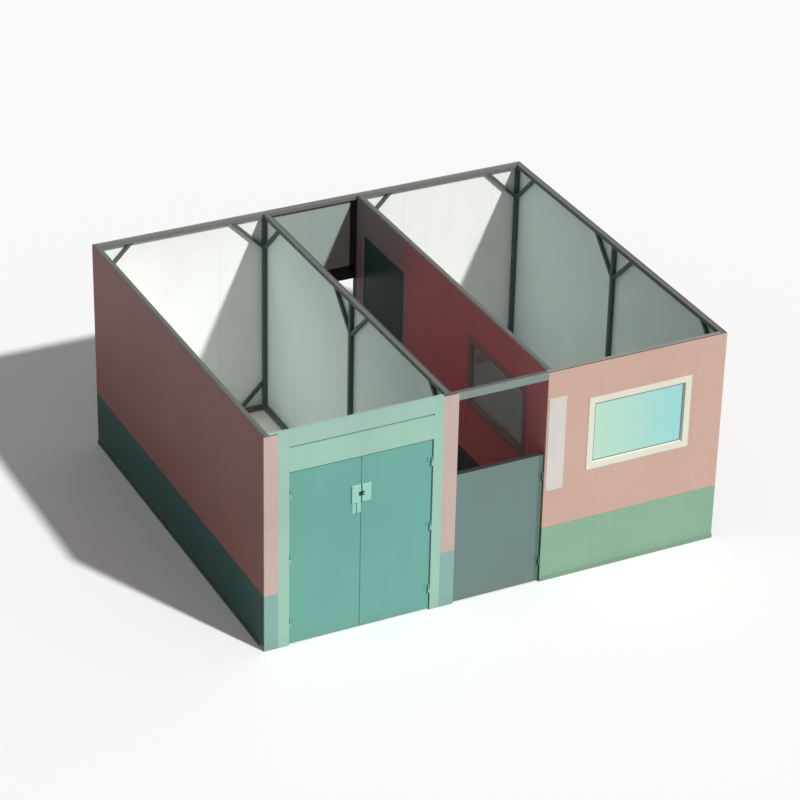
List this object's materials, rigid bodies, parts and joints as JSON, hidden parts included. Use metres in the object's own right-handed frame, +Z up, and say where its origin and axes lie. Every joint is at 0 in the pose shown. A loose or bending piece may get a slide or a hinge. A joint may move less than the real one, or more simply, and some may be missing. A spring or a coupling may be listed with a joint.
{
  "type": "roofless guard booth with gate bay and passage",
  "caption": "Roofless guard booth of braced steel tube and flat panels, with a double-leaf gate, a walk-through passage with a low door, and a windowed guard room.",
  "frame": {"origin": "middle of the footprint, on the ground", "axes": "+X to the right along the front, seen from outside; +Y from the front wall to the back wall; +Z up. The gate bay is at -X and the guard room at +X."},
  "size_m": [5.27, 4.58, 2.5],
  "materials": {
    "frame_paint": "satin grey-green paint on square tube",
    "outer_wall_panel": "pink over a green band outside, off-white inside, satin coated sheet on board",
    "pale_trim": "satin pale grey-green paint",
    "gate_frame_paint": "satin light aqua paint",
    "gate_paint": "satin teal paint",
    "lock_paint": "satin pale aqua paint",
    "passage_door_paint": "satin grey paint",
    "guard_door_paint": "satin dark teal paint",
    "window_frame_paint": "satin cream paint",
    "window_glass": "tinted aqua, polished",
    "hinge_steel": "zinc-plated steel",
    "handle_steel": "satin steel"
  },
  "bodies": {
    "booth": {"back_top_rail": "frame_paint", "back_wall_gate_bay": "outer_wall_panel", "back_wall_guard_room": "outer_wall_panel", "base_rails": "frame_paint", "corner_posts": "frame_paint", "end_base_tracks": "frame_paint", "end_wall_braces": "frame_paint", "front_corner_panel": "outer_wall_panel", "front_pier": "outer_wall_panel", "front_top_rail": "pale_trim", "front_window_wall": "outer_wall_panel", "gate_groove_strip": "pale_trim", "gate_header": "gate_frame_paint", "gate_jambs": "gate_frame_paint", "gate_top_panel": "pale_trim", "guard_door_frame": "guard_door_paint", "hinge_pins": "hinge_steel", "left_wall": "outer_wall_panel", "mid_posts": "frame_paint", "partition_1_wall": "outer_wall_panel", "partition_2_over_door": "outer_wall_panel", "partition_2_rear_wall": "outer_wall_panel", "partition_2_wall": "outer_wall_panel", "partition_braces": "frame_paint", "partition_posts": "frame_paint", "partition_top_rails": "frame_paint", "passage_head": "pale_trim", "passage_transom": "outer_wall_panel", "right_wall": "outer_wall_panel", "side_base_tracks": "frame_paint", "side_top_rails": "frame_paint", "side_wall_braces": "frame_paint", "window_frames": "window_frame_paint", "window_glass": "window_glass"},
    "gate_leaf_left_body": {"gate_leaf_left": "gate_paint", "gate_leaf_left_hinges": "hinge_steel", "gate_lock_left": "lock_paint"},
    "gate_leaf_right_body": {"gate_leaf_right": "gate_paint", "gate_leaf_right_hinges": "hinge_steel", "gate_lock_right": "lock_paint"},
    "passage_door_body": {"passage_door": "passage_door_paint", "passage_door_hinges": "hinge_steel"},
    "guard_door_body": {"guard_door": "guard_door_paint", "guard_door_hinges": "hinge_steel", "guard_door_handle": "handle_steel"}
  },
  "joints": [
    {"name": "gate_left_swing", "type": "hinge", "parent": "booth", "child": "gate_leaf_left_body", "pos_m": [-2.341, -2.278, 0], "axis": [0, 0, -1], "range_deg": [0, 100]},
    {"name": "gate_right_swing", "type": "hinge", "parent": "booth", "child": "gate_leaf_right_body", "pos_m": [-0.779, -2.278, 0], "axis": [0, 0, 1], "range_deg": [0, 100]},
    {"name": "passage_door_swing", "type": "hinge", "parent": "booth", "child": "passage_door_body", "pos_m": [0.511, -2.275, 0], "axis": [0, 0, 1], "range_deg": [0, 100]},
    {"name": "guard_door_swing", "type": "hinge", "parent": "booth", "child": "guard_door_body", "pos_m": [0.584, 1.996, 0], "axis": [0, 0, 1], "range_deg": [0, 90]}
  ]
}
